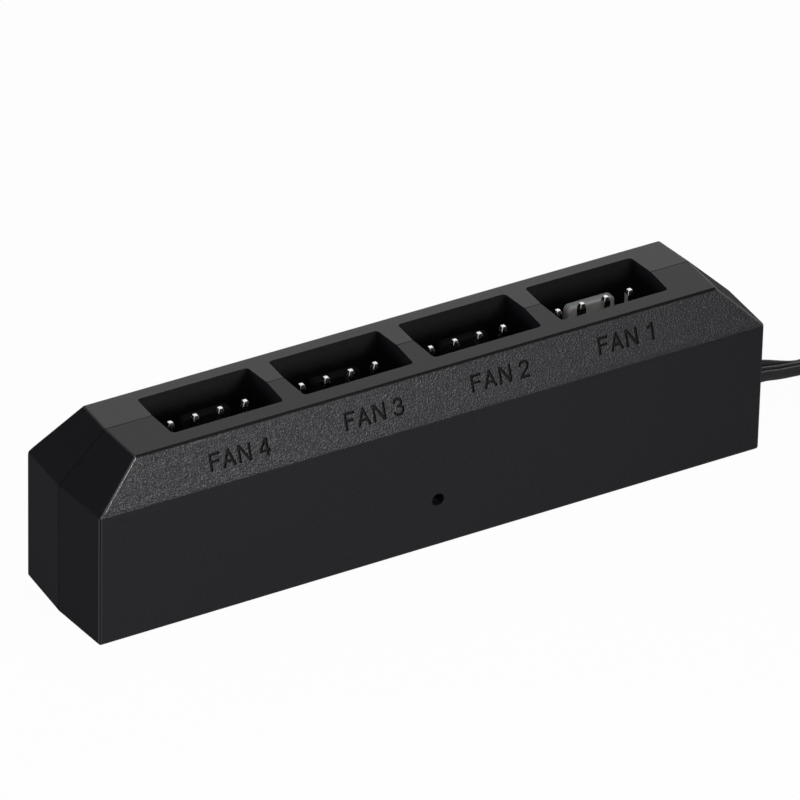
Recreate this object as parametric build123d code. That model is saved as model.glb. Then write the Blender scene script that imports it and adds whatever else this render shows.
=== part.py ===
from build123d import *
import os
from dataclasses import dataclass
from math import atan2, radians, tan

os.makedirs("parts", exist_ok=True)

# A slim fan hub: two drafted half shells that meet on an upright seam, a board with four keyed
# pin headers that stand in wells in the top face, and a four wire lead with a plug.
# Millimetres. X runs along the bar towards its lead, Y from the front face to the rear, Z up.
# The origin is at the middle of the bottom face, on the seam.

# Housing
housing_length = 70.0  # at the seam, the widest place
housing_height = 17.75  # at the seam
front_depth = 6.7  # seam to front face
rear_depth = 6.7  # seam to rear face
front_wall_height = 13.3  # foot of the front slope
rear_wall_height = 13.05  # foot of the rear slope
front_shoulder = 5.1  # seam to the top of the front slope
rear_shoulder = 4.6  # seam to the top of the rear slope
end_corner_height = 13.25  # foot of the end slope at the seam
end_slope_run = 4.65  # length of the end slope along X
end_draft = 0.47  # each end draws in by this from the seam to a long face
top_draft = 0.12  # the top falls by this from the seam to a shoulder
wall = 1.5
edge_round = 0.28
foot_reach = 0.45  # how far the round at the foot of a long slope reaches along each face
seam_groove = 0.04  # depth of the line where the halves meet, and its width in each half

# Seam lip: a tongue on the rear shell in a rebate of the front shell
lip_thickness = 0.6
lip_reach = 0.9
lip_clearance = 0.1

# Pegs that line the halves up
peg_diameter = 1.7
peg_reach = 2.2
peg_clearance = 0.1
boss_diameter = 3.6
peg_from_end = 4.8
peg_height = 10.6

# Ports
port_count = 4
port_pitch = 13.4
ports_offset = 0.35  # middle of the row of wells, from the middle of the housing
well_length_seam = 11.7
well_length_face = 11.3
front_well_reach = 3.35
rear_well_reach = 3.15
well_corner = 0.4
well_wall = 1.1

# Board
board_top = 4.6
board_thickness = 1.0
board_clearance = 0.2  # to the side walls
board_left_gap = 1.0  # to the inside of the left end
board_right_gap = 2.6  # to the inside of the right end, where the lead turns in
rib_thickness = 1.2
rib_reach = 1.0
rib_slot_clearance = 0.05
rib_top_gap = 0.3  # rib to the foot of the wells

# Keyed four pin headers
pin_count = 4
pin_pitch = 2.54
pin_side = 0.64
pin_height = 12.2  # tip above the board
pin_tail = 2.6  # below the top of the board
pin_tip = 0.45
pin_tip_angle = 16.0
pin_hole_diameter = 1.0
pin_solder_height = 1.1  # solder cone under the board
pin_solder_foot = 0.8  # radius on the board
pin_solder_neck = 0.4  # radius on the pin
row_offset_x = -0.4  # pin row from the middle of its well
row_offset_y = -0.35
header_side_margin = 1.2  # end pin to the end of the base
header_front = 2.5  # pin row to the front of the base
header_rear = 3.3  # pin row to the back of the tab
header_base_height = 3.2
header_round = 0.25
tab_thickness = 1.01
tab_height = 10.35
tab_corner = 0.55  # upper corners of the tab
tab_round = 0.25
well_foot_clearance = 0.3  # header base to the foot of the well walls

# Indicator
window_diameter = 1.25
window_x = 0.15
window_height = 4.9
led_length = 2.0
led_depth = 1.25
led_height = 0.8
led_lens_inset = 0.2
led_from_edge = 0.15
resistor_gap = 1.0
resistor_round = 0.05

# Lead
wire_diameter = 1.0
wire_pitch = 1.1
wire_strip = 2.4  # bare end on its pad
core_diameter = 0.5
solder_width = 0.8
solder_drop = 0.9
solder_chamfer = 0.16
exit_clearance = 0.1
lead_offset_y = 0.9  # middle of the row of wires, behind the seam
bundle_diameter = 2.41
lead_straight = 3.2  # level run outside the slot
bend_share = 0.45  # share of each run that a bend may take

# Hank, plug and their places
hank_run = 36.0  # straight runs between the folds
fold_radius = 8.44  # middle of the two turns
hank_x = 54.0  # middle of the fold next to the housing
hank_y = -6.445
fold_clearance = 0.15  # the near fold is this much tighter, to clear the lead beside it
tie_thickness = 0.3
tie_width = 3.0
plug_x = 66.5  # side of the plug where its wires go in
plug_length = 12.8
plug_height = 5.0
plug_side_margin = 1.25
plug_round = 0.3
plug_cavity_width = 1.9
plug_cavity_height = 2.4
plug_front_wall = 1.2
plug_entry = 1.1
plug_rib_width = 1.1
plug_rib_height = 0.8
plug_rib_gap = 5.4
plug_window_length = 2.2
plug_window_width = 1.1
terminal_length = 8.0
terminal_sheet = 0.25
terminal_clearance = 0.05

# Worked out from the sizes above
half_length = housing_length / 2
inner_half_length = half_length - wall
board_bottom = board_top - board_thickness
board_left = -inner_half_length + board_left_gap
board_right = inner_half_length - board_right_gap
pin_span = (pin_count - 1) * pin_pitch
header_length = pin_span + 2 * header_side_margin
tab_length = 2 * pin_pitch
header_base_top = board_top + header_base_height
well_foot = header_base_top + well_foot_clearance
wire_height = board_bottom - wire_diameter / 2
turn_height = tie_thickness + bundle_diameter / 2
outer_turn_radius = fold_radius + bundle_diameter / 2
inner_turn_radius = fold_radius - bundle_diameter / 2
far_fold_x = hank_x + hank_run
rear_run_y = hank_y + fold_radius
hank_entry_y = hank_y + outer_turn_radius
hank_leave_y = hank_y - inner_turn_radius
past = 1.0  # how far a cut runs past the faces that it opens


@dataclass(frozen=True)
class Half:
    """One half of the housing. side is -1 for the front half and 1 for the rear half."""

    side: int
    depth: float
    wall_height: float
    shoulder: float
    well_reach: float


front_half = Half(-1, front_depth, front_wall_height, front_shoulder, front_well_reach)
rear_half = Half(1, rear_depth, rear_wall_height, rear_shoulder, rear_well_reach)


def block(x, y, z):
    """Box between two values on each axis."""
    size = [max(pair) - min(pair) for pair in (x, y, z)]
    middle = [sum(pair) / 2 for pair in (x, y, z)]
    return Pos(*middle) * Box(*size)


def rod(start, end, diameter):
    """Cylinder between two points."""
    line = Line(start, end)
    return extrude(Plane(origin=start, z_dir=line % 0) * Circle(diameter / 2), amount=line.length)


def port_x(number):
    """Middle of a well. Port 1 is next to the lead."""
    return ports_offset + ((port_count + 1) / 2 - number) * port_pitch


def pin_places(number):
    """X of each pin of a port."""
    first = port_x(number) + row_offset_x - pin_span / 2
    return [first + index * pin_pitch for index in range(pin_count)]


def wire_places():
    """Y of each wire where the lead leaves the housing."""
    first = lead_offset_y - (pin_count - 1) * wire_pitch / 2
    return [first + index * wire_pitch for index in range(pin_count)]


def half_planes(half):
    """Outward planes of one half: bottom, long face, long slope, top, and at each end its face and slope."""
    side = half.side
    head = housing_height - top_draft
    planes = [
        Plane(origin=(0, 0, 0), z_dir=(0, 0, -1)),
        Plane(origin=(0, side * half.depth, 0), z_dir=(0, side, 0)),
        Plane(
            origin=(0, side * half.depth, half.wall_height),
            z_dir=(0, side * (head - half.wall_height), half.depth - half.shoulder),
        ),
        Plane(origin=(0, 0, housing_height), z_dir=(0, side * top_draft, half.shoulder)),
    ]
    for end in (-1, 1):
        planes.append(Plane(origin=(end * half_length, 0, 0), z_dir=(end * half.depth, side * end_draft, 0)))
        along = Vector(-end * end_slope_run, 0, housing_height - end_corner_height)
        across = Vector(-end * end_draft, side * half.depth, half.wall_height - end_corner_height)
        upward = along.cross(across) * (side * -end)
        planes.append(Plane(origin=(end * half_length, 0, end_corner_height), z_dir=upward))
    return planes


def half_form(half, inset=0.0):
    """Drafted solid of one half, with every face but the seam drawn in by inset."""
    x = (-half_length - past, half_length + past)
    form = block(x, (0, half.side * (half.depth + past)), (-past, housing_height + past))
    for plane in half_planes(half):
        form = split(form, bisect_by=plane.offset(-inset), keep=Keep.BOTTOM)
    return form


def seam_slab(half, reach):
    """Slab from the seam into a half, wider than the housing."""
    x = (-half_length - past, half_length + past)
    return block(x, (0, half.side * reach), (-past, housing_height + past))


def rounded_half(half):
    """Outside of a half with its edges rounded and half of a fine groove along the seam."""
    form = half_form(half)
    foot = Vector(0, half.side * half.depth, half.wall_height)
    turn = atan2(half.depth - half.shoulder, housing_height - top_draft - half.wall_height)
    form = fillet(form.edges().sort_by_distance(foot)[0], foot_reach / tan(turn / 2))
    corners = form.edges().filter_by(lambda edge: (edge.center() - foot).length > 2 * foot_reach)
    form = fillet(corners.filter_by(lambda edge: abs(edge.center().Y) > 1e-6), edge_round)
    return form - (seam_slab(half, seam_groove) - half_form(half, seam_groove))


def well_prism(half, number):
    """Half of a well, wider at the seam than at its far wall so that the mould can draw."""
    x = port_x(number)
    far = half.side * half.well_reach
    near_half = well_length_seam / 2
    far_half = well_length_face / 2
    corners = [(x - near_half, 0), (x + near_half, 0), (x + far_half, far), (x - far_half, far)]
    plan = make_face(Polyline(*corners, close=True))
    far_corners = plan.vertices().filter_by(lambda corner: abs(corner.Y - far) < 1e-6)
    plan = fillet(far_corners, well_corner)
    return Pos(0, 0, well_foot - past) * extrude(plan, amount=housing_height - well_foot + 2 * past)


def well_walls(half, outside):
    """Block of well walls that hangs from the top wall over the headers."""
    reach = half.side * (half.well_reach + well_wall)
    margin = well_length_seam / 2 + well_wall
    x = (port_x(port_count) - margin, port_x(1) + margin)
    return block(x, (0, reach), (well_foot, housing_height)) & outside


def board_ribs(half):
    """Upright ribs on the long wall, one at each port, slotted for the edge of the board."""
    wall_face = half.side * (half.depth - wall)
    edge = half.side * (half.depth - wall - rib_reach)
    slot = (board_bottom, board_top + rib_slot_clearance)
    ribs = []
    for number in range(1, port_count + 1):
        x = (port_x(number) - rib_thickness / 2, port_x(number) + rib_thickness / 2)
        rib = block(x, (wall_face + half.side * wall / 2, edge), (wall / 2, well_foot - rib_top_gap))
        ribs.append(rib - block(x, (wall_face, edge), slot))
    return ribs


def peg_places():
    """X of the two pegs."""
    return [-half_length + peg_from_end, half_length - peg_from_end]


def peg_bosses(half):
    """Round bosses from the long wall to the seam."""
    start = half.side * (half.depth - wall / 2)
    return [rod((x, start, peg_height), (x, 0, peg_height), boss_diameter) for x in peg_places()]


def seam_lip(reach, clearance):
    """Tongue along the bottom and the two ends, inside the outer half of the wall."""
    ring = half_form(front_half, wall - lip_thickness - clearance) - half_form(front_half, wall)
    ring = ring & seam_slab(front_half, reach)
    ends = (-half_length, half_length)
    return ring - block(ends, (0, -reach), (end_corner_height - wall, housing_height))


def lead_exit():
    """Slot through the right end that the row of wires fills."""
    reach = (pin_count - 1) * wire_pitch / 2 + wire_diameter / 2 + exit_clearance
    rise = wire_diameter / 2 + exit_clearance
    x = (inner_half_length - past, half_length + past)
    y = (lead_offset_y - reach, lead_offset_y + reach)
    return block(x, y, (wire_height - rise, wire_height + rise))


def half_shell(half):
    """Hollow half with its wells, ribs, bosses and lead slot."""
    outside = rounded_half(half)
    shell = outside - half_form(half, wall)
    shell += well_walls(half, outside)
    shell += board_ribs(half)
    shell += peg_bosses(half)
    shell -= [well_prism(half, number) for number in range(1, port_count + 1)]
    return shell - lead_exit()


def front_shell():
    """Front half: rebate for the lip, sockets for the pegs and the indicator's window."""
    shell = half_shell(front_half)
    shell -= seam_lip(lip_reach + lip_clearance, lip_clearance)
    depth = peg_reach + peg_clearance
    socket = peg_diameter + 2 * peg_clearance
    shell -= [rod((x, 0, peg_height), (x, -depth, peg_height), socket) for x in peg_places()]
    outside = (window_x, -front_depth - past, window_height)
    inside = (window_x, -front_depth + wall + past, window_height)
    return shell - rod(outside, inside, window_diameter)


def rear_shell():
    """Rear half: lip along the seam and two pegs."""
    shell = half_shell(rear_half)
    shell += seam_lip(lip_reach, 0) - lead_exit()
    root = boss_diameter / 2
    shell += [rod((x, root, peg_height), (x, -peg_reach, peg_height), peg_diameter) for x in peg_places()]
    return shell


def circuit_board():
    """Board with a drilled hole for each header pin."""
    y = (-front_depth + wall + board_clearance, rear_depth - wall - board_clearance)
    board = block((board_left, board_right), y, (board_bottom, board_top))
    holes = []
    for number in range(1, port_count + 1):
        for x in pin_places(number):
            start = (x, row_offset_y, board_bottom - past)
            holes.append(rod(start, (x, row_offset_y, board_top + past), pin_hole_diameter))
    return board - holes


def header_pin(x):
    """Square pin with a tapered end at the top and the bottom."""
    straight = pin_height + pin_tail - 2 * pin_tip
    low = board_top - pin_tail + pin_tip
    square = Rectangle(pin_side, pin_side)
    shaft = Pos(x, row_offset_y, low) * extrude(square, amount=straight)
    top = Pos(x, row_offset_y, low + straight) * extrude(square, amount=pin_tip, taper=pin_tip_angle)
    bottom = Pos(x, row_offset_y, low) * extrude(square, amount=-pin_tip, taper=pin_tip_angle)
    return shaft + top + bottom


def fan_header(number):
    """Moulded base and key tab of one header. The tab stands behind the first three pins."""
    places = pin_places(number)
    middle = sum(places) / pin_count
    x = (middle - header_length / 2, middle + header_length / 2)
    back = row_offset_y + header_rear
    tab_front = back - tab_thickness
    base = block(x, (row_offset_y - header_front, tab_front), (board_top, header_base_top))
    base = fillet(base.edges().filter_by(Axis.Z), header_round)
    tab_x = (places[-1] - tab_length, places[-1])
    tab = block(tab_x, (tab_front, back), (board_top, board_top + tab_height))
    tab = fillet(tab.edges().filter_by(Axis.Y).group_by(Axis.Z)[-1], tab_corner)
    rims = tab.faces().filter_by(Axis.Y).edges()
    header = base + fillet(rims.filter_by(lambda edge: edge.center().Z > board_top + tab_round), tab_round)
    half_side = pin_side / 2
    for place in places:
        hole_y = (row_offset_y - half_side, row_offset_y + half_side)
        header -= block((place - half_side, place + half_side), hole_y, (board_top, header_base_top))
    return header


def header_solder():
    """Solder cone round each pin on the underside of the board."""
    joints = []
    for number in range(1, port_count + 1):
        for x in pin_places(number):
            middle = Pos(x, row_offset_y, board_bottom - pin_solder_height / 2)
            cone = middle * Cone(pin_solder_neck, pin_solder_foot, pin_solder_height)
            joints.append(cone - header_pin(x))
    return joints


def indicator_led():
    """Small surface mounted lamp on the edge of the board behind the window."""
    y = -front_depth + wall + board_clearance + led_from_edge
    body = block(
        (window_x - led_length / 2, window_x + led_length / 2),
        (y, y + led_depth),
        (board_top, board_top + led_height / 2),
    )
    lens_half = led_length / 2 - 2 * led_lens_inset
    lens = block(
        (window_x - lens_half, window_x + lens_half),
        (y + led_lens_inset / 2, y + led_depth - led_lens_inset / 2),
        (board_top + led_height / 2, board_top + led_height),
    )
    return body + lens


def led_resistor():
    """Chip resistor in series with the lamp, beside it on the board."""
    y = -front_depth + wall + board_clearance + led_from_edge
    left = window_x + led_length / 2 + resistor_gap
    body = block((left, left + led_length), (y, y + led_depth), (board_top, board_top + led_height / 2))
    return fillet(body.edges().filter_by(Axis.Y), resistor_round)


def lead_wire_ends():
    """Insulated ends of the wires, from the board out through the slot."""
    start = board_right - wire_diameter / 2
    return [rod((start, y, wire_height), (half_length, y, wire_height), wire_diameter) for y in wire_places()]


def lead_wire_cores():
    """Stripped ends of the wires under their pads."""
    end = board_right - wire_diameter / 2
    start = end - wire_strip
    return [rod((start, y, wire_height), (end, y, wire_height), core_diameter) for y in wire_places()]


def lead_solder():
    """Solder that holds each stripped end to the underside of the board."""
    end = board_right - wire_diameter / 2
    start = end - wire_strip
    half_width = solder_width / 2
    low = board_bottom - solder_drop
    joints = []
    for y, core in zip(wire_places(), lead_wire_cores()):
        joint = block((start, end), (y - half_width, y + half_width), (low, board_bottom))
        joint = chamfer(joint.edges().filter_by(Axis.X).group_by(Axis.Z)[0], solder_chamfer)
        joints.append(joint - core)
    return joints


def cord(points):
    """Round cord along straight runs joined by arcs as large as the runs allow."""
    spots = [Vector(*point) for point in points]
    runs = [b - a for a, b in zip(spots, spots[1:])]
    radii = []
    for before, after in zip(runs, runs[1:]):
        half_turn = radians(before.get_angle(after)) / 2
        radii.append(bend_share * min(before.length, after.length) / tan(half_turn))
    path = FilletPolyline(*spots, radius=radii)
    tube = sweep(Plane(origin=path @ 0, z_dir=path % 0) * Circle(bundle_diameter / 2), path=path)
    print("cord radii", [round(radius, 1) for radius in radii], "length", round(path.length, 2))
    straight = Circle(bundle_diameter / 2).area * path.length
    print("cord volume over section times length", round(tube.volume / straight, 4))
    return tube


# Route from the housing to the outer turn of the hank, falling to the floor
lead_route = [
    (half_length, lead_offset_y, wire_height),
    (half_length + lead_straight, lead_offset_y, wire_height),
    (41.5, 0.8, 2.4),
    (45.4, 1.2, turn_height),
    (49.6, hank_entry_y, turn_height),
    (hank_x, hank_entry_y, turn_height),
]

# Route from the inner turn of the hank to the plug that lies in its middle
tail_route = [
    (far_fold_x, hank_leave_y, turn_height),
    (86.5, hank_leave_y, turn_height),
    (81.0, -12.1, turn_height),
    (75.0, -8.0, 2.1),
    (70.0, hank_y, plug_height / 2),
    (plug_x, hank_y, plug_height / 2),
]


def turn_section(grow=0.0):
    """Section of two turns side by side, grown by a margin."""
    return SlotCenterToCenter(bundle_diameter, bundle_diameter + 2 * grow)


def hank_fold(section, radius, start_angle):
    """Half ring of a section, from an angle on."""
    placed = Plane.XZ * (Pos(radius, turn_height) * section)
    return Rot(0, 0, start_angle) * revolve(placed, Axis.Z, 180)


def lead_hank():
    """Outside of the hank: both turns along the rear and the far fold, one elsewhere."""
    rear = Pos(hank_x, rear_run_y, turn_height) * extrude(Plane.YZ * turn_section(), amount=hank_run)
    far_fold = Pos(far_fold_x, hank_y, 0) * hank_fold(turn_section(), fold_radius, -90)
    front_y = hank_y - outer_turn_radius
    front = rod((hank_x, front_y, turn_height), (far_fold_x, front_y, turn_height), bundle_diameter)
    near_radius = fold_radius - fold_clearance
    near_fold = hank_fold(Circle(bundle_diameter / 2), near_radius, 90)
    near_fold = Pos(hank_x, front_y + near_radius, 0) * near_fold
    return rear + far_fold + front + near_fold


def lead_tie():
    """Flat tie that wraps both turns at the middle of the rear run."""
    band = extrude(Plane.YZ * (turn_section(tie_thickness) - turn_section()), amount=tie_width)
    return Pos(hank_x + (hank_run - tie_width) / 2, rear_run_y, turn_height) * band


def in_hank(shape):
    """Turns a piece of the plug round and lays it in the middle of the hank."""
    return Pos(plug_x, hank_y, 0) * Rot(0, 0, 180) * shape


def plug_cavities():
    """Y of each cavity of the plug from its middle."""
    return [-pin_span / 2 + index * pin_pitch for index in range(pin_count)]


def lead_plug():
    """Socket housing with a cavity for each terminal and two key ribs on its upper face."""
    half_width = pin_span / 2 + plug_side_margin
    x = (0, plug_length)
    body = block(x, (-half_width, half_width), (0, plug_height))
    body = fillet(body.edges().filter_by(Axis.X), plug_round)
    rib_middle = plug_cavities()[1]
    for side in (-1, 1):
        inner = rib_middle + side * plug_rib_gap / 2
        outer = max(min(inner + side * plug_rib_width, half_width), -half_width)
        body += block(x, (inner, outer), (plug_height - plug_round, plug_height + plug_rib_height))
    middle = plug_height / 2
    floor_x = plug_length - plug_front_wall
    window_x = (plug_length / 2, plug_length / 2 + plug_window_length)
    for y in plug_cavities():
        cavity_y = (y - plug_cavity_width / 2, y + plug_cavity_width / 2)
        cavity_z = (middle - plug_cavity_height / 2, middle + plug_cavity_height / 2)
        body -= block((-past, floor_x), cavity_y, cavity_z)
        entry = (y - plug_entry / 2, y + plug_entry / 2)
        entry_z = (middle - plug_entry / 2, middle + plug_entry / 2)
        body -= block((floor_x - past, plug_length + past), entry, entry_z)
        window = (y - plug_window_width / 2, y + plug_window_width / 2)
        body -= block(window_x, window, (-past, middle))
    return in_hank(body)


def lead_terminals():
    """Folded sheet sleeve in each cavity of the plug."""
    end = plug_length - plug_front_wall
    half_width = plug_cavity_width / 2 - terminal_clearance
    low = plug_height / 2 - plug_cavity_height / 2
    high = plug_height / 2 + plug_cavity_height / 2 - terminal_clearance
    sleeves = []
    for y in plug_cavities():
        x = (end - terminal_length, end)
        sleeve = block(x, (y - half_width, y + half_width), (low, high))
        inside = (y - half_width + terminal_sheet, y + half_width - terminal_sheet)
        sleeve -= block((x[0] - past, x[1] + past), inside, (low + terminal_sheet, high - terminal_sheet))
        sleeves.append(in_hank(sleeve))
    return sleeves


def group(solids):
    """Like solids as one piece of the model."""
    return Compound(children=[Part(solid.wrapped) for solid in solids])


pieces = {
    "front_shell": front_shell(),
    "rear_shell": rear_shell(),
    "circuit_board": circuit_board(),
    "header_solder_joints": group(header_solder()),
    "indicator_led": indicator_led(),
    "led_resistor": led_resistor(),
    "lead_wire_ends": group(lead_wire_ends()),
    "lead_wire_cores": group(lead_wire_cores()),
    "lead_solder_joints": group(lead_solder()),
    "lead": cord(lead_route),
    "lead_tail": cord(tail_route),
    "lead_hank": lead_hank(),
    "lead_tie": lead_tie(),
    "lead_plug": lead_plug(),
    "lead_terminals": group(lead_terminals()),
}
for number in range(1, port_count + 1):
    pieces[f"fan_header_{number}"] = fan_header(number)
    pieces[f"fan_header_{number}_pins"] = group([header_pin(x) for x in pin_places(number)])

for name, shape in pieces.items():
    export_step(shape, f"parts/{name}.step")
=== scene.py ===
"""Looks of a slim fan hub: two moulded half shells, four keyed pin headers and a four wire lead."""

from __future__ import annotations

import logging
import math
from dataclasses import dataclass
from enum import Enum

import bmesh
import bpy
from mathutils import Euler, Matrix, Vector
from mathutils.geometry import delaunay_2d_cdt

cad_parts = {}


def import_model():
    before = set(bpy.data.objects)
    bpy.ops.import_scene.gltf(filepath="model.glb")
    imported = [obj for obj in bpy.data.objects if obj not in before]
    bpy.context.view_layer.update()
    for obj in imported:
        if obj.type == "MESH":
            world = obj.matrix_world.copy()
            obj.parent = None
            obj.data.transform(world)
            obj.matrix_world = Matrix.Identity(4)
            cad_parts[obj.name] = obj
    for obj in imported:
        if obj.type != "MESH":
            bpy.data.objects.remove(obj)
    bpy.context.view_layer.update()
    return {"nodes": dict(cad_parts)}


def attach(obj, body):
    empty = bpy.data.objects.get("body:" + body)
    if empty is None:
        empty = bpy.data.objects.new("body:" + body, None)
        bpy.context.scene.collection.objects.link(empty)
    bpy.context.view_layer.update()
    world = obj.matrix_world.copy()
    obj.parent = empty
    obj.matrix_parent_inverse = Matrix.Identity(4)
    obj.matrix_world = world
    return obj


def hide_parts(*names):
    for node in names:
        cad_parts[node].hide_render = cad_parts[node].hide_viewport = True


LOG = logging.getLogger("fan_hub")
MM = 0.001
BODY = "root"
MERGE_DISTANCE = 1e-6
PLAN_TOLERANCE = 1e-6
COPLANAR_ANGLE = 0.4
CREASE_ANGLE = 35.0
BEVEL_ANGLE = 40.0
SHADING_WEIGHT = 80
SAME_PLANE = 0.99995
FLAT_PULL = 1e4
GRAIN_DETAIL = 0.5
GRAIN_ROUGHNESS = 0.55
PIT_SCALE = 0.8
FLECK_RANGE = (0.42, 0.66)
FLECK_SHARE = 0.5
MOTTLE_DETAIL = 4.0
MOTTLE_SHARE = 0.5
GLOW_DEPTH = 0.6
SPLINE_ORDER = 3

Colour = tuple[float, float, float]
Point = tuple[float, float, float]


def metres(point: Point) -> Vector:
    """A point given in millimetres, in metres."""
    return Vector(point) * MM


def smooth_step(low: float, high: float, value: float) -> float:
    """Rise from 0 to 1 with level ends.

    Args:
        low: Value up to which the result is 0.
        high: Value from which the result is 1.
        value: Where to read the rise.

    Returns:
        The height of the rise.
    """
    share = min(max((value - low) / (high - low), 0.0), 1.0)
    return share * share * (3.0 - 2.0 * share)


def new_object(name: str, data: bpy.types.ID) -> bpy.types.Object:
    """Object of a mesh, curve, lamp or camera, in the scene and at the origin."""
    thing = bpy.data.objects.new(name, data)
    bpy.context.scene.collection.objects.link(thing)
    return thing


def curve_mesh(name: str, curve: bpy.types.Curve) -> bpy.types.Mesh:
    """Mesh of a curve's shape. The curve itself leaves the file.

    Args:
        name: Name for the curve's passing object.
        curve: The curve.

    Returns:
        The mesh.
    """
    thing = new_object(name, curve)
    graph = bpy.context.evaluated_depsgraph_get()
    mesh = bpy.data.meshes.new_from_object(thing.evaluated_get(graph), depsgraph=graph)
    bpy.data.objects.remove(thing)
    bpy.data.curves.remove(curve)
    return mesh


def shade(mesh: bpy.types.Mesh, crease: float = CREASE_ANGLE) -> None:
    """Smooth shading that stops at creases.

    Args:
        mesh: Mesh to shade.
        crease: Angle between faces, in degrees, from which an edge stays sharp.
    """
    mesh.shade_smooth()
    mesh.set_sharp_from_angle(angle=math.radians(crease))


def merged_copy(node: bpy.types.Object, name: str) -> bpy.types.Object:
    """Copy of a CAD node with its triangles joined and flat faces made whole.

    Args:
        node: CAD node to copy.
        name: Name of the new piece.

    Returns:
        The new piece, at the origin.
    """
    form = bmesh.new()
    form.from_mesh(node.data)
    bmesh.ops.remove_doubles(form, verts=form.verts, dist=MERGE_DISTANCE)
    angle = math.radians(COPLANAR_ANGLE)
    bmesh.ops.dissolve_limit(form, angle_limit=angle, verts=form.verts, edges=form.edges)
    mesh = bpy.data.meshes.new(name)
    form.to_mesh(mesh)
    form.free()
    return new_object(name, mesh)


def soften(piece: bpy.types.Object, width: float, segments: int = 2) -> None:
    """Rounds the sharp edges of a piece, and shades its large faces flat and only the rounds turning.

    Args:
        piece: Piece to round.
        width: Width of the rounded edge in millimetres.
        segments: Faces across the rounded edge.
    """
    bevel = piece.modifiers.new("Edges", "BEVEL")
    bevel.width = width * MM
    bevel.segments = segments
    bevel.limit_method = "ANGLE"
    bevel.angle_limit = math.radians(BEVEL_ANGLE)
    bevel.use_clamp_overlap = True
    weights = piece.modifiers.new("Shading", "WEIGHTED_NORMAL")
    weights.keep_sharp = True
    weights.weight = SHADING_WEIGHT


def firm_normals(mesh: bpy.types.Mesh, flats: list[Vector], crease: float = CREASE_ANGLE) -> None:
    """Keeps the flat sides of a mesh flat and lets only the faces between them turn.

    Args:
        mesh: Mesh to shade.
        flats: Normals of its flat sides.
        crease: Angle between faces, in degrees, from which an edge stays sharp.
    """
    limit = math.cos(math.radians(crease))
    turns = []
    around: list[list[int]] = [[] for _ in mesh.vertices]
    for face in mesh.polygons:
        near = max(flats, key=face.normal.dot)
        flat = face.normal.dot(near) > SAME_PLANE
        turns.append((near.copy() if flat else face.normal.copy(), flat))
        for corner in face.vertices:
            around[corner].append(face.index)
    normals = []
    for face in mesh.polygons:
        own, flat = turns[face.index]
        for corner in face.vertices:
            total = own.copy()
            if not flat:
                for other, other_flat in (turns[index] for index in around[corner]):
                    if other.dot(own) > limit:
                        total += other * (FLAT_PULL if other_flat else 1.0)
            normals.append(total.normalized())
    mesh.shade_smooth()
    mesh.normals_split_custom_set(normals)


class NodeCanvas:
    """Node tree with short ways to add and join nodes."""

    def __init__(self, tree: bpy.types.NodeTree) -> None:
        """Wraps a node tree."""
        self.tree = tree

    def add(self, kind: str, **values: object) -> bpy.types.Node:
        """Adds a node.

        Args:
            kind: Type of the node.
            values: Settings of the node by name.

        Returns:
            The new node.
        """
        node = self.tree.nodes.new(kind)
        for key, value in values.items():
            setattr(node, key, value)
        return node

    def join(self, start: bpy.types.NodeSocket, end: bpy.types.NodeSocket) -> None:
        """Links an output to an input."""
        self.tree.links.new(start, end)

    def math(self, operation: str, first: object, second: object) -> bpy.types.NodeSocket:
        """Works out one step of arithmetic.

        Args:
            operation: Name of the operation.
            first: A socket or a number.
            second: A socket or a number.

        Returns:
            The output socket.
        """
        node = self.add("ShaderNodeMath", operation=operation)
        for socket, value in zip(node.inputs, (first, second)):
            if isinstance(value, bpy.types.NodeSocket):
                self.join(value, socket)
            else:
                socket.default_value = value
        return node.outputs[0]

    def background_rays(self) -> bpy.types.NodeSocket:
        """Is 1 for rays from the camera, from a gloss or through glass, and otherwise 0."""
        path = self.add("ShaderNodeLightPath")
        seen = self.math("MAXIMUM", path.outputs["Is Camera Ray"], path.outputs["Is Glossy Ray"])
        return self.math("MAXIMUM", seen, path.outputs["Is Transmission Ray"])


class Effect(Enum):
    """Shader effects that several finishes share."""

    GRAIN = "Moulded grain"
    MOTTLE = "Tone mottle"


def new_group(effect: Effect, inputs: dict[str, float], outputs: tuple[str, ...]) -> bpy.types.ShaderNodeTree:
    """Empty shader node group with named value sockets.

    Args:
        effect: Effect that the group makes.
        inputs: Input names with their usual values.
        outputs: Output names.

    Returns:
        The group.
    """
    group = bpy.data.node_groups.new(effect.value, "ShaderNodeTree")
    for name, value in inputs.items():
        socket = group.interface.new_socket(name, in_out="INPUT", socket_type="NodeSocketFloat")
        socket.default_value = value
    for name in outputs:
        group.interface.new_socket(name, in_out="OUTPUT", socket_type="NodeSocketFloat")
    return group


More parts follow.
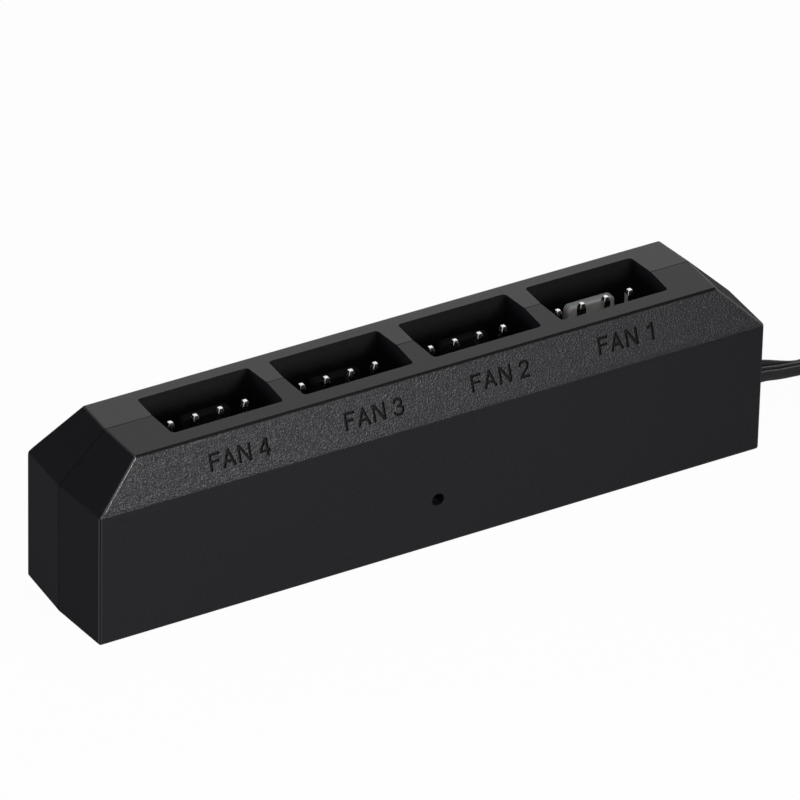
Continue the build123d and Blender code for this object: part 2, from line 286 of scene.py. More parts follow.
def grain_group() -> bpy.types.ShaderNodeTree:
    """Spark eroded grain: small rounded pits of uneven size, as a height and as a mask of their flecks."""
    found = bpy.data.node_groups.get(Effect.GRAIN.value)
    if found:
        return found
    group = new_group(Effect.GRAIN, {"Scale": 5000.0, "Coarse share": 0.35}, ("Height", "Fleck"))
    canvas = NodeCanvas(group)
    start = canvas.add("NodeGroupInput")
    end = canvas.add("NodeGroupOutput")
    place = canvas.add("ShaderNodeTexCoord").outputs["Object"]
    fine = canvas.add("ShaderNodeTexNoise")
    fine.inputs["Detail"].default_value = GRAIN_DETAIL
    fine.inputs["Roughness"].default_value = GRAIN_ROUGHNESS
    coarse = canvas.add("ShaderNodeTexVoronoi", feature="F1")
    canvas.join(place, fine.inputs["Vector"])
    canvas.join(place, coarse.inputs["Vector"])
    canvas.join(start.outputs["Scale"], fine.inputs["Scale"])
    canvas.join(canvas.math("MULTIPLY", start.outputs["Scale"], PIT_SCALE), coarse.inputs["Scale"])
    pits = canvas.math("MULTIPLY", coarse.outputs["Distance"], start.outputs["Coarse share"])
    canvas.join(canvas.math("ADD", fine.outputs["Fac"], pits), end.inputs["Height"])
    fleck = canvas.add("ShaderNodeMapRange")
    fleck.inputs["From Min"].default_value = FLECK_RANGE[0]
    fleck.inputs["From Max"].default_value = FLECK_RANGE[1]
    canvas.join(fine.outputs["Fac"], fleck.inputs["Value"])
    canvas.join(fleck.outputs["Result"], end.inputs["Fleck"])
    return group


def mottle_group() -> bpy.types.ShaderNodeTree:
    """Slow change of tone over a surface, from 0 to 1."""
    found = bpy.data.node_groups.get(Effect.MOTTLE.value)
    if found:
        return found
    group = new_group(Effect.MOTTLE, {"Scale": 120.0, "Contrast": 1.0}, ("Tone",))
    canvas = NodeCanvas(group)
    start = canvas.add("NodeGroupInput")
    end = canvas.add("NodeGroupOutput")
    place = canvas.add("ShaderNodeTexCoord").outputs["Object"]
    cloud = canvas.add("ShaderNodeTexNoise")
    cloud.inputs["Detail"].default_value = MOTTLE_DETAIL
    canvas.join(place, cloud.inputs["Vector"])
    canvas.join(start.outputs["Scale"], cloud.inputs["Scale"])
    swing = canvas.math("SUBTRACT", cloud.outputs["Fac"], 0.5)
    swing = canvas.math("MULTIPLY", swing, start.outputs["Contrast"])
    canvas.join(canvas.math("ADD", swing, 0.5), end.inputs["Tone"])
    return group


@dataclass(frozen=True)
class Finish:
    """Surface of one kind of piece, with grain, tone and gloss that change over it."""

    name: str
    slot: str
    dark: Colour
    light: Colour
    roughness: tuple[float, float]
    specular: float = 0.5
    metallic: float = 0.0
    grain_size: float = 0.2
    grain_depth: float = 0.01
    mottle_size: float = 8.0
    coarse_share: float = 0.35
    translucency: float = 0.0

    def material(self) -> bpy.types.Material:
        """Material of this finish, made once."""
        found = bpy.data.materials.get(self.name)
        if found:
            return found
        material = bpy.data.materials.new(self.name)
        material.use_nodes = True
        canvas = NodeCanvas(material.node_tree)
        shader = material.node_tree.nodes["Principled BSDF"]
        shader.inputs["Specular IOR Level"].default_value = self.specular
        shader.inputs["Metallic"].default_value = self.metallic
        if self.translucency > 0.0:
            shader.inputs["Subsurface Weight"].default_value = self.translucency
            shader.inputs["Subsurface Scale"].default_value = GLOW_DEPTH * MM
        grain = canvas.add("ShaderNodeGroup", node_tree=grain_group())
        grain.inputs["Scale"].default_value = 1.0 / (self.grain_size * MM)
        grain.inputs["Coarse share"].default_value = self.coarse_share
        mottle = canvas.add("ShaderNodeGroup", node_tree=mottle_group())
        mottle.inputs["Scale"].default_value = 1.0 / (self.mottle_size * MM)
        self.tone(canvas, grain, mottle, shader)
        bump = canvas.add("ShaderNodeBump")
        bump.inputs["Strength"].default_value = 1.0
        bump.inputs["Distance"].default_value = self.grain_depth * MM
        canvas.join(grain.outputs["Height"], bump.inputs["Height"])
        canvas.join(bump.outputs["Normal"], shader.inputs["Normal"])
        return material

    def tone(
        self,
        canvas: NodeCanvas,
        grain: bpy.types.Node,
        mottle: bpy.types.Node,
        shader: bpy.types.Node,
    ) -> None:
        """Links colour and roughness to the grain's flecks and the slow mottle.

        Args:
            canvas: Node tree of the material.
            grain: Grain group node.
            mottle: Mottle group node.
            shader: Principled shader.
        """
        share = canvas.math("MULTIPLY", grain.outputs["Fleck"], FLECK_SHARE)
        share = canvas.math("ADD", share, canvas.math("MULTIPLY", mottle.outputs["Tone"], MOTTLE_SHARE))
        blend = canvas.add("ShaderNodeMix", data_type="RGBA")
        blend.inputs["A"].default_value = (*self.dark, 1.0)
        blend.inputs["B"].default_value = (*self.light, 1.0)
        canvas.join(share, blend.inputs["Factor"])
        canvas.join(blend.outputs["Result"], shader.inputs["Base Color"])
        gloss = canvas.add("ShaderNodeMapRange")
        gloss.inputs["To Min"].default_value = self.roughness[0]
        gloss.inputs["To Max"].default_value = self.roughness[1]
        canvas.join(share, gloss.inputs["Value"])
        canvas.join(gloss.outputs["Result"], shader.inputs["Roughness"])

    def dress(self, piece: bpy.types.Object) -> None:
        """Gives a piece this finish as its only material."""
        piece.data.materials.clear()
        piece.data.materials.append(self.material())

    def dress_node(self, node: bpy.types.Object) -> None:
        """Gives a CAD node this finish in every slot that it has."""
        for slot in node.material_slots:
            slot.material = self.material()


COOL_BLACK = ((0.008, 0.0078, 0.0096), (0.0115, 0.0112, 0.0138))
PLAIN_BLACK = ((0.008, 0.008, 0.0083), (0.0115, 0.0115, 0.012))
HOUSING_GRAINED = Finish(
    "Housing black grained", "housing", *COOL_BLACK, (0.3, 0.46),
    specular=0.18, grain_size=0.15, grain_depth=0.038, mottle_size=14.0, coarse_share=1.1,
)
HOUSING_WALL = Finish(
    "Housing black wall", "housing", *COOL_BLACK, (0.4, 0.46),
    specular=0.07, grain_size=0.16, grain_depth=0.045, mottle_size=14.0, coarse_share=0.0,
)
# Painted highlight: raised gloss on the rounded front corners of the left end only, so they carry a light
# line.
HOUSING_CORNER_HIGHLIGHT = Finish(
    "Housing black corner painted highlight", "housing", *COOL_BLACK, (0.24, 0.3),
    specular=0.3, grain_size=0.16, grain_depth=0.002, mottle_size=14.0, coarse_share=0.0,
)
HOUSING_TOP = Finish(
    "Housing black fine", "housing", *PLAIN_BLACK, (0.42, 0.48),
    specular=0.118, grain_size=0.16, grain_depth=0.003, mottle_size=14.0,
)
# Painted shade: the same black plastic with nearly no gloss, for the ends and the well side walls, so they
# read darker than the other sides.
HOUSING_DULL_SHADE = Finish(
    "Housing black dull painted shade", "housing", *COOL_BLACK, (0.55, 0.65),
    specular=0.008, grain_size=0.18, grain_depth=0.004, mottle_size=14.0,
)
# Rounded hip edges: smooth and without grain, which is real, with their gloss raised far above the shell's so
# the front hips carry a bright line, which is a painted highlight.
HOUSING_EDGE_HIGHLIGHT = Finish(
    "Housing black edge painted highlight", "housing", *PLAIN_BLACK, (0.18, 0.22),
    specular=0.8, grain_size=0.2, grain_depth=0.001, mottle_size=14.0,
)
# Painted shade: a glossless copy of the shell black for the letters, the wells and the round between top and
# slope, so they read dark. Its base is a little lighter than the shell's, which paints some light back into
# the deepest shade.
HOUSING_PAINTED_SHADE = Finish(
    "Housing black painted shade", "housing", (0.0105, 0.0105, 0.0108), (0.0145, 0.0145, 0.0149), (0.5, 0.6),
    specular=0.01, grain_size=0.2, grain_depth=0.001, mottle_size=14.0,
)
HEADER_NATURAL = Finish(
    "Header natural nylon", "header_natural", (0.84, 0.84, 0.82), (0.92, 0.92, 0.9), (0.32, 0.44),
    specular=0.45, grain_size=0.5, grain_depth=0.004, mottle_size=3.0, translucency=0.25,
)
HEADER_BLACK = Finish(
    "Header black nylon", "header_black", (0.016, 0.016, 0.017), (0.022, 0.022, 0.0235), (0.55, 0.65),
    specular=0.03, grain_size=0.5, grain_depth=0.003, mottle_size=3.0,
)
PIN_TIN = Finish(
    "Pin bright tin", "tinned_pin", (0.66, 0.65, 0.63), (0.84, 0.83, 0.81), (0.18, 0.3),
    metallic=1.0, grain_size=0.12, grain_depth=0.002, mottle_size=1.5,
)
BOARD_RESIST = Finish(
    "Board solder resist", "board", (0.008, 0.05, 0.02), (0.016, 0.09, 0.036), (0.24, 0.36),
    grain_size=0.6, grain_depth=0.006, mottle_size=4.0,
)
SOLDER_BRIGHT = Finish(
    "Solder bright", "solder", (0.55, 0.55, 0.56), (0.75, 0.75, 0.76), (0.2, 0.36),
    metallic=1.0, grain_size=0.3, grain_depth=0.006, mottle_size=1.0,
)
LAMP_CLEAR = Finish(
    "Lamp clear lens", "lamp", (0.66, 0.64, 0.52), (0.78, 0.76, 0.66), (0.12, 0.2),
    grain_size=0.4, grain_depth=0.001, mottle_size=1.0,
)
CHIP_BLACK = Finish(
    "Chip ceramic", "chip", (0.012, 0.012, 0.013), (0.028, 0.028, 0.03), (0.4, 0.55),
    grain_size=0.15, grain_depth=0.003, mottle_size=1.0,
)
WIRE_BLACK = Finish(
    "Wire insulation", "insulation", (0.024, 0.024, 0.0257), (0.032, 0.032, 0.0345), (0.45, 0.55),
    specular=0.05, grain_size=0.35, grain_depth=0.004, mottle_size=5.0,
)
COPPER_TINNED = Finish(
    "Core tinned strands", "copper", (0.6, 0.42, 0.3), (0.78, 0.6, 0.44), (0.28, 0.4),
    metallic=1.0, grain_size=0.12, grain_depth=0.006, mottle_size=1.0,
)
TIE_BLACK = Finish(
    "Tie satin black", "tie", (0.008, 0.008, 0.008), (0.02, 0.02, 0.02), (0.45, 0.6),
    grain_size=0.3, grain_depth=0.02, mottle_size=4.0,
)
PLUG_BLACK = Finish(
    "Plug black nylon", "plug", (0.006, 0.006, 0.006), (0.013, 0.013, 0.013), (0.36, 0.48),
    specular=0.4, grain_size=0.4, grain_depth=0.005, mottle_size=4.0,
)
TERMINAL_TIN = Finish(
    "Terminal tin", "terminal", (0.6, 0.58, 0.52), (0.78, 0.76, 0.7), (0.2, 0.34),
    metallic=1.0, grain_size=0.2, grain_depth=0.003, mottle_size=1.5,
)


def place_piece(piece: bpy.types.Object, finish: Finish, *nodes: str) -> None:
    """Dresses a new piece, sets it on the body and lets it stand for its CAD nodes.

    Args:
        piece: The new piece.
        finish: Its finish.
        nodes: CAD nodes that it stands for.
    """
    finish.dress(piece)
    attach(piece, BODY)
    if nodes:
        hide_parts(*nodes)
    LOG.info("%s: %d faces", piece.name, len(piece.data.polygons))


Stroke = tuple[tuple[float, float], ...]


class Glyph(Enum):
    """Middle lines of the engraver's strokes of each sign, in millimetres from the sign's lower left."""

    F = (((0.13, 0.0), (0.13, 1.66)), ((0.02, 1.53), (1.1, 1.53)), ((0.03, 0.87), (0.98, 0.87)))
    A = (((0.13, 0.0), (0.74, 1.66)), ((0.65, 1.65), (1.26, 0.01)), ((0.31, 0.55), (1.09, 0.55)))
    N = (((0.13, 0.0), (0.13, 1.66)), ((0.15, 1.64), (1.15, 0.03)), ((1.17, 0.01), (1.17, 1.65)))
    ONE = (((0.74, 0.0), (0.74, 1.66)), ((0.78, 1.56), (0.6, 1.34), (0.24, 1.22)))
    TWO = (
        (
            (0.1, 1.08), (0.1, 1.22), (0.24, 1.53), (0.78, 1.53),
            (0.95, 1.2), (0.86, 0.9), (0.5, 0.55), (0.14, 0.1),
        ),
        ((0.02, 0.12), (1.02, 0.12)),
    )
    THREE = (
        (
            (0.12, 1.2), (0.16, 1.36), (0.3, 1.54), (0.66, 1.54),
            (0.87, 1.36), (0.82, 1.0), (0.6, 0.9), (0.38, 0.9),
        ),
        (
            (0.4, 0.88), (0.64, 0.88), (0.92, 0.76), (0.97, 0.4),
            (0.76, 0.12), (0.26, 0.12), (0.08, 0.3), (0.03, 0.46),
        ),
    )
    FOUR = (((0.82, 0.0), (0.82, 1.66)), ((0.78, 1.62), (0.1, 0.56)), ((0.01, 0.5), (1.12, 0.5)))


@dataclass
class Label:
    """Port label engraved in the front slope."""

    left: float
    baseline: float
    number: Glyph
    stroke: float = 0.27
    roundings: int = 3

    def glyphs(self) -> tuple[tuple[Glyph, float], ...]:
        """Signs of the label with the place of each, in millimetres from its left."""
        return ((Glyph.F, 0.0), (Glyph.A, 1.26), (Glyph.N, 2.9), (self.number, 5.02))

    def middle(self, stroke: Stroke, place: float) -> list[Vector]:
        """Middle line of a stroke with its corners rounded by cutting them.

        Args:
            stroke: Points of the stroke.
            place: Place of its sign, in millimetres from the label's left.

        Returns:
            Points on the slope: along it and up it, in millimetres.
        """
        line = [Vector((self.left + place + x, self.baseline + height)) for x, height in stroke]
        for _ in range(self.roundings if len(line) > 2 else 0):
            cut = [line[0]]
            for first, second in zip(line, line[1:]):
                cut += [first.lerp(second, 0.25), first.lerp(second, 0.75)]
            line = [*cut, line[-1]]
        return line

    def outline(self, line: list[Vector]) -> list[Vector]:
        """Outline of a stroke of even width.

        Args:
            line: Its middle line.

        Returns:
            Corners of the outline in order.
        """
        left, right = [], []
        for number, spot in enumerate(line):
            along = (line[min(number + 1, len(line) - 1)] - line[max(number - 1, 0)]).normalized()
            aside = Vector((-along.y, along.x)) * self.stroke / 2
            left.append(spot + aside)
            right.append(spot - aside)
        return [*right, *reversed(left)]

    def outlines(self) -> list[list[Vector]]:
        """Outlines of all strokes of the label."""
        strokes = [(stroke, place) for glyph, place in self.glyphs() for stroke in glyph.value]
        return [self.outline(self.middle(stroke, place)) for stroke, place in strokes]


class Side(Enum):
    """Sides of a shell that carry a grain and gloss of their own, by material slot. Some slots paint light:
    the ends and well side walls lose their gloss (painted shade), the front hips and the left end's front
    corners get raised gloss (painted highlights), and the letters, the wells and the round between top and
    slope get a glossless, slightly lighter black (painted shade).
    """

    LONG = 0
    TOP = 1
    DULL_SHADE = 2
    EDGE_HIGHLIGHT = 3
    PAINTED_SHADE = 4
    WALL = 5
    CORNER_HIGHLIGHT = 6


@dataclass
class Housing:
    """The two half shells, with port labels cut into the front slope."""

    finish: Finish = HOUSING_GRAINED
    slope_foot: Point = (0.0, -6.7, 13.3)
    slope_head: Point = (0.0, -5.1, 17.63)
    label_band: tuple[float, float] = (1.0, 3.6)
    label_reach: float = 26.0
    edge_width: float = 0.16
    well_half: float = 4.4
    wells_reach: float = 29.0
    flat_area: float = 20.0
    label_depth: float = 0.16
    top_height: float = 17.4
    slope_match: float = 0.9999
    label_sunk: tuple[float, float] = (0.02, 0.6)
    front_limit: float = -0.1
    hip_turn: tuple[float, float] = (0.12, 0.5)
    hip_rise: float = 0.15
    corner_turns: tuple[tuple[float, float], ...] = ((-0.45, -0.1), (-0.98, -0.85))
    head_rise: float = 0.4
    top_rise: float = 0.3
    end_turn: float = 0.6
    wall_rise: float = 0.1
    side_finishes: tuple[Finish, ...] = (
        HOUSING_TOP, HOUSING_DULL_SHADE, HOUSING_EDGE_HIGHLIGHT, HOUSING_PAINTED_SHADE, HOUSING_WALL, HOUSING_CORNER_HIGHLIGHT,
    )
    labels: tuple[Label, ...] = (
        Label(-23.12, 1.32, Glyph.FOUR),
        Label(-9.32, 1.45, Glyph.THREE),
        Label(3.8, 1.55, Glyph.TWO),
        Label(17.14, 1.6, Glyph.ONE),
    )

    def slope(self) -> tuple[Vector, Vector, Vector]:
        """Foot of the front slope, and the directions up it and out of it."""
        foot = metres(self.slope_foot)
        up = (metres(self.slope_head) - foot).normalized()
        return foot, up, Vector((1.0, 0.0, 0.0)).cross(up)

    def build(self, nodes: dict[str, bpy.types.Object]) -> None:
        """Makes both shells.

        Args:
            nodes: CAD nodes by name.
        """
        front = merged_copy(nodes["front_shell"], "shell_front")
        rear = merged_copy(nodes["rear_shell"], "shell_rear")
        for piece, node in ((front, "front_shell"), (rear, "rear_shell")):
            large = [face for face in piece.data.polygons if face.area > self.flat_area * MM * MM]
            flats = [face.normal.copy() for face in large]
            if piece is front:
                self.engrave(piece.data)
            firm_normals(piece.data, flats)
            place_piece(piece, self.finish, node)
            for finish in self.side_finishes:
                piece.data.materials.append(finish.material())
            for face in piece.data.polygons:
                face.material_index = self.side(piece.data, face).value

    def side(self, mesh: bpy.types.Mesh, face: bpy.types.MeshPolygon) -> Side:
        """Tells which side of a shell a face belongs to.

        Args:
            mesh: Mesh of the shell.
            face: One of its faces.

        Returns:
            The side.
        """
        x, y, z = face.center / MM
        normal = face.normal
        foot, up, out = self.slope()
        across = (face.center - foot).dot(up) / MM
        sunk = -(face.center - foot).dot(out) / MM
        in_band = self.label_band[0] < across < self.label_band[1] and abs(x) < self.label_reach
        # Faces sunk in the letters get the glossless copy: painted shade.
        if in_band and self.label_sunk[0] < sunk < self.label_sunk[1]:
            return Side.PAINTED_SHADE
        corners = [mesh.vertices[index].co for index in face.vertices]
        longest = max((second - first).length for first, second in zip(corners, [*corners[1:], corners[0]]))
        if face.area / longest < self.edge_width * MM and normal.y < self.front_limit:
            # The front hips get the raised-gloss copy: painted highlight.
            if self.hip_turn[0] < abs(normal.x) < self.hip_turn[1] and normal.z > self.hip_rise:
                return Side.EDGE_HIGHLIGHT
            # The left end's rounded corners get the raised-gloss copy: painted highlight.
            on_corner = any(low < normal.x < high for low, high in self.corner_turns)
            if x < -self.wells_reach and normal.z < self.hip_rise and on_corner:
                return Side.CORNER_HIGHLIGHT
            # The narrow round between top and front slope gets the glossless copy: a painted dark line.
            if abs(normal.x) < self.hip_turn[0] and normal.z > self.head_rise:
                return Side.PAINTED_SHADE
        if normal.z > self.top_rise and z > self.top_height:
            return Side.TOP
        # Ends and well side walls get the glossless copy: painted shade.
        if abs(normal.x) > self.end_turn:
            return Side.DULL_SHADE
        # Faces inside the wells get the glossless copy: painted shade.
        if abs(y) < self.well_half and abs(x) < self.wells_reach:
            return Side.PAINTED_SHADE
        return Side.WALL if normal.z < self.wall_rise else Side.LONG

    def engrave(self, mesh: bpy.types.Mesh) -> None:
        """Sinks the labels into the front slope.

        Args:
            mesh: Mesh of the front shell, which changes.
        """
        foot, up, out = self.slope()
        form = bmesh.new()
        form.from_mesh(mesh)
        outward = [face for face in form.faces if face.normal.dot(out) > self.slope_match]
        side = max(outward, key=lambda face: face.calc_area())
        rim = list(side.verts)
        plan = [Vector(((corner.co.x - foot.x) / MM, (corner.co - foot).dot(up) / MM)) for corner in rim]
        rings = [list(range(len(rim)))]
        for outline in [outline for label in self.labels for outline in label.outlines()]:
            rings.append(list(range(len(plan), len(plan) + len(outline))))
            plan += outline
        spots, _, triangles, origins, _, parents = delaunay_2d_cdt(
            plan, [], rings, 1, PLAN_TOLERANCE, True,
        )
        levels: dict[tuple[int, float], bmesh.types.BMVert] = {}

        def corner_at(index: int, depth: float) -> bmesh.types.BMVert:
            """Corner of the plan on the slope or in a stroke, made once."""
            if (index, depth) not in levels:
                own = [origin for origin in origins[index] if origin < len(rim)]
                place = Vector((spots[index].x, 0.0, 0.0)) + up * spots[index].y - out * depth
                levels[index, depth] = rim[own[0]] if own and not depth else form.verts.new(foot + place * MM)
            return levels[index, depth]

        sunk = {}
        for triangle, parent in zip(triangles, parents):
            depth = self.label_depth if any(parent) else 0.0
            form.faces.new([corner_at(index, depth) for index in triangle])
            for first, second in zip(triangle, [*triangle[1:], triangle[0]]):
                sunk[first, second] = depth
        for (first, second), depth in sunk.items():
            if depth and not sunk.get((second, first), depth):
                form.faces.new((
                    corner_at(first, 0.0),
                    corner_at(second, 0.0),
                    corner_at(second, depth),
                    corner_at(first, depth),
                ))
        form.faces.remove(side)
        form.to_mesh(mesh)
        form.free()


@dataclass
class Headers:
    """Four keyed headers and their pins, in the wells."""

    count: int = 4
    natural: int = 1
    base_edge: float = 0.1
    pin_edge: float = 0.03

    def build(self, nodes: dict[str, bpy.types.Object]) -> None:
        """Makes each header and its pins.

        Args:
            nodes: CAD nodes by name.
        """
        for number in range(1, self.count + 1):
            finish = HEADER_NATURAL if number == self.natural else HEADER_BLACK
            for node, edge, look in (
                (f"fan_header_{number}", self.base_edge, finish),
                (f"fan_header_{number}_pins", self.pin_edge, PIN_TIN),
            ):
                piece = merged_copy(nodes[node], f"{node}_moulded" if look is finish else f"{node}_drawn")
                shade(piece.data)
                soften(piece, edge)
                place_piece(piece, look, node)


@dataclass
class Board:
    """The board with its small parts, which stay as CAD nodes."""

    finishes: tuple[tuple[str, Finish], ...] = (
        ("circuit_board", BOARD_RESIST),
        ("header_solder_joints", SOLDER_BRIGHT),
        ("indicator_led", LAMP_CLEAR),
        ("led_resistor", CHIP_BLACK),
        ("lead_wire_ends", WIRE_BLACK),
        ("lead_wire_cores", COPPER_TINNED),
        ("lead_solder_joints", SOLDER_BRIGHT),
        ("lead_terminals", TERMINAL_TIN),
    )

    def dress(self, nodes: dict[str, bpy.types.Object]) -> None:
        """Gives each node its finish.

        Args:
            nodes: CAD nodes by name.
        """
        for name, finish in self.finishes:
            finish.dress_node(nodes[name])
            LOG.info("%s: CAD node in %s", name, finish.name)


@dataclass
class Lead:
    """Four wires in one bundle, from the housing through a folded hank to the plug."""

    wire: float = 1.0
    bundle: float = 2.41
    route_in: tuple[Point, ...] = (
        (35.0, 0.9, 3.1),
        (38.2, 0.9, 3.1),
        (41.5, 0.8, 2.4),
        (45.4, 1.2, 1.505),
        (49.6, 3.2, 1.505),
        (54.0, 3.2, 1.505),
    )
    route_out: tuple[Point, ...] = (
        (86.5, -13.68, 1.505),
        (81.0, -12.1, 1.505),
        (75.0, -8.0, 2.1),
    )
    near_x: float = 54.0
    far_x: float = 90.0
    hank_y: float = -6.445
    outer_turn: float = 9.645
    inner_turn: float = 7.235
    near_turn: float = 8.29
    turn_height: float = 1.505
    points_a_fold: int = 12
    points_a_run: int = 4
    plug_row: tuple[Point, ...] = ((70.0, -6.445, 2.5), (66.5, -6.445, 2.5), (63.0, -6.445, 2.5))
    plug_pitch: float = 2.54
    plug_lead_in: float = 1.6
    plug_edge: float = 0.12
    tie_edge: float = 0.08
    laps: int = 7
    step: float = 0.6
    wires: int = 4
    row_pitch: float = 1.1
    splay: tuple[tuple[float, tuple[float, ...], tuple[float, ...]], ...] = (
        (4.4, (-1.36, -0.41, 0.77, 1.28), (0.31, 0.19, 0.29, -0.58)),
        (9.0, (-1.29, -0.31, 0.52, 1.21), (0.55, 0.31, 0.0, -0.93)),
    )
    bundle_start: float = 20.0
    bundle_end: float = 9.0
    bundle_corners: tuple[float, ...] = (135.0, 225.0, 45.0, 315.0)
    bundle_slack: float = 1.02
    route_steps: int = 6
    tube_steps: int = 8
    tube_sides: int = 3
    tube_crease: float = 50.0

    def run(self, start: float, end: float, y: float) -> list[Point]:
        """Points between the ends of a straight run of the hank.

        Args:
            start: X where the run starts.
            end: X where it ends.
            y: Its place across the hank.

        Returns:
            The points, without the ends.
        """
        steps = self.points_a_run + 1
        shares = [count / steps for count in range(1, steps)]
        return [(start + (end - start) * share, y, self.turn_height) for share in shares]

    def fold(self, x: float, y: float, radius: float, start: float) -> list[Point]:
        """Points of a half turn, clockwise from above.

        Args:
            x: Middle of the fold.
            y: Middle of the fold.
            radius: Radius of the turn.
            start: Angle in degrees where it starts.

        Returns:
            The points, with both ends.
        """
        points = []
        for count in range(self.points_a_fold + 1):
            angle = math.radians(start - 180.0 * count / self.points_a_fold)
            points.append((x + radius * math.cos(angle), y + radius * math.sin(angle), self.turn_height))
        return points

    def hank_points(self) -> list[Point]:
        """Turns of the hank: one right round the outside, then half of one inside it."""
        front_y = self.hank_y - self.outer_turn
        points = []
        for radius in (self.outer_turn, self.inner_turn):
            points += self.run(self.near_x, self.far_x, self.hank_y + radius)
            points += self.fold(self.far_x, self.hank_y, radius, 90.0)
            if radius == self.outer_turn:
                points += self.run(self.far_x, self.near_x, front_y)
                points += self.fold(self.near_x, front_y + self.near_turn, self.near_turn, 270.0)
        return points

    def spline_points(self, points: list[Point]) -> list[Vector]:
        """Points along one smooth spline.

        Args:
            points: Its control points in millimetres.

        Returns:
            Points that Blender reads from the spline, in metres.
        """
        route = bpy.data.curves.new("Lead route", "CURVE")
        route.dimensions = "3D"
        route.resolution_u = self.route_steps
        spline = route.splines.new("NURBS")
        spline.points.add(len(points) - 1)
        for spot, point in zip(spline.points, points):
            spot.co = (*metres(point), 1.0)
        spline.order_u = SPLINE_ORDER
        spline.use_endpoint_u = True
        mesh = curve_mesh("Lead route", route)
        line = [corner.co.copy() for corner in mesh.vertices]
        bpy.data.meshes.remove(mesh)
        return line

    def even_points(self, line: list[Vector]) -> list[Vector]:
        """Points at even steps along a line.

        Args:
            line: Points read from a spline.

        Returns:
            Points a step apart, from the first to the last.
        """
        lengths = [0.0]
        for start, end in zip(line, line[1:]):
            lengths.append(lengths[-1] + (end - start).length)
        count = round(lengths[-1] / (self.step * MM))
        even = []
        index = 0
        for number in range(count + 1):
            at = lengths[-1] * number / count
            while index < len(line) - 2 and lengths[index + 1] < at:
                index += 1
            gap = lengths[index + 1] - lengths[index]
            even.append(line[index].lerp(line[index + 1], (at - lengths[index]) / gap if gap else 0.0))
        return even

    def offset(self, wire: int, run: float, whole: float) -> tuple[float, float]:
        """Place of a wire in the bundle.

        Args:
            wire: Number of the wire, from 0.
            run: Distance from the housing in millimetres.
            whole: Length of the lead in millimetres.

        Returns:
            Distance to the left of the route and above it, in millimetres.
        """
        row = (wire - (self.wires - 1) / 2) * self.row_pitch
        keys = [(0.0, (row, 0.0))]
        keys += [(at, (aside[wire], above[wire])) for at, aside, above in self.splay]
        bundled, parted = self.bundle_start, whole - self.bundle_end
        corner = math.radians(self.bundle_corners[wire])
        share = min(max((run - bundled) / (parted - bundled), 0.0), 1.0)
        angle = corner + 2.0 * math.pi * self.laps * share
        reach = self.wire / math.sqrt(2.0) * self.bundle_slack
        twisted = (reach * math.cos(angle), reach * math.sin(angle))
        keys.append((bundled, twisted))
        keys.append((parted, twisted))
        keys.append((whole, (row, 0.0)))
        for (start, first), (end, second) in zip(keys, keys[1:]):
            if run <= end:
                rise = smooth_step(start, end, run)
                return (
                    first[0] + (second[0] - first[0]) * rise,
                    first[1] + (second[1] - first[1]) * rise,
                )
        return keys[-1][1]

    def wire_lines(self, line: list[Vector]) -> list[list[Vector]]:
        """Middle line of each wire beside the route.

        Args:
            line: Even points along the route.

        Returns:
            One list of points for each wire.
        """
        whole = (len(line) - 1) * self.step
        lines: list[list[Vector]] = [[] for _ in range(self.wires)]
        for number, spot in enumerate(line):
            ahead = line[min(number + 1, len(line) - 1)]
            behind = line[max(number - 1, 0)]
            along = (ahead - behind).normalized()
            left = Vector((0.0, 0.0, 1.0)).cross(along).normalized()
            above = along.cross(left)
            for wire, points in enumerate(lines):
                u, v = self.offset(wire, number * self.step, whole)
                points.append(spot + left * u * MM + above * v * MM)
        return lines

    def tubes(self, name: str, lines: list[list[Vector]], kind: str) -> bpy.types.Object:
        """Round wires along lines, as one mesh.

        Args:
            name: Name of the piece.
            lines: Points of each wire in metres.
            kind: Type of the splines.

        Returns:
            The piece.
        """
        curve = bpy.data.curves.new(name, "CURVE")
        curve.dimensions = "3D"
        curve.bevel_depth = self.wire / 2 * MM
        curve.bevel_resolution = self.tube_sides
        curve.resolution_u = self.tube_steps
        curve.use_fill_caps = True
        for points in lines:
            spline = curve.splines.new(kind)
            spline.points.add(len(points) - 1)
            for spot, point in zip(spline.points, points):
                spot.co = (*point, 1.0)
            if kind == "NURBS":
                spline.order_u = SPLINE_ORDER
                spline.use_endpoint_u = True
        mesh = curve_mesh(name, curve)
        shade(mesh, self.tube_crease)
        return new_object(name, mesh)

    def build(self, nodes: dict[str, bpy.types.Object]) -> None:
        """Args:
            nodes: CAD nodes by name.
        """
        control = [*self.route_in, *self.hank_points(), *self.route_out]
        line = self.even_points(self.spline_points(control))
        lines = self.wire_lines(line)
        wires = self.tubes("lead_wires", lines, "POLY")
        place_piece(wires, WIRE_BLACK, "lead", "lead_hank")
        ends = []
        for wire, points in enumerate(lines):
            side = ((self.wires - 1) / 2 - wire) * self.plug_pitch
            last = points[-1]
            ahead = last + (points[-1] - points[-2]).normalized() * self.plug_lead_in * MM
            row = [metres(spot) + Vector((0.0, side * MM, 0.0)) for spot in self.plug_row]
            ends.append([last, ahead, *row])
        fan = self.tubes("plug_wires", ends, "NURBS")
        place_piece(fan, WIRE_BLACK, "lead_tail")
        tie = merged_copy(nodes["lead_tie"], "hank_tie")
        shade(tie.data)
        soften(tie, self.tie_edge)
        place_piece(tie, TIE_BLACK, "lead_tie")
        plug = merged_copy(nodes["lead_plug"], "plug_housing")
        shade(plug.data)
        soften(plug, self.plug_edge)
        place_piece(plug, PLUG_BLACK, "lead_plug")


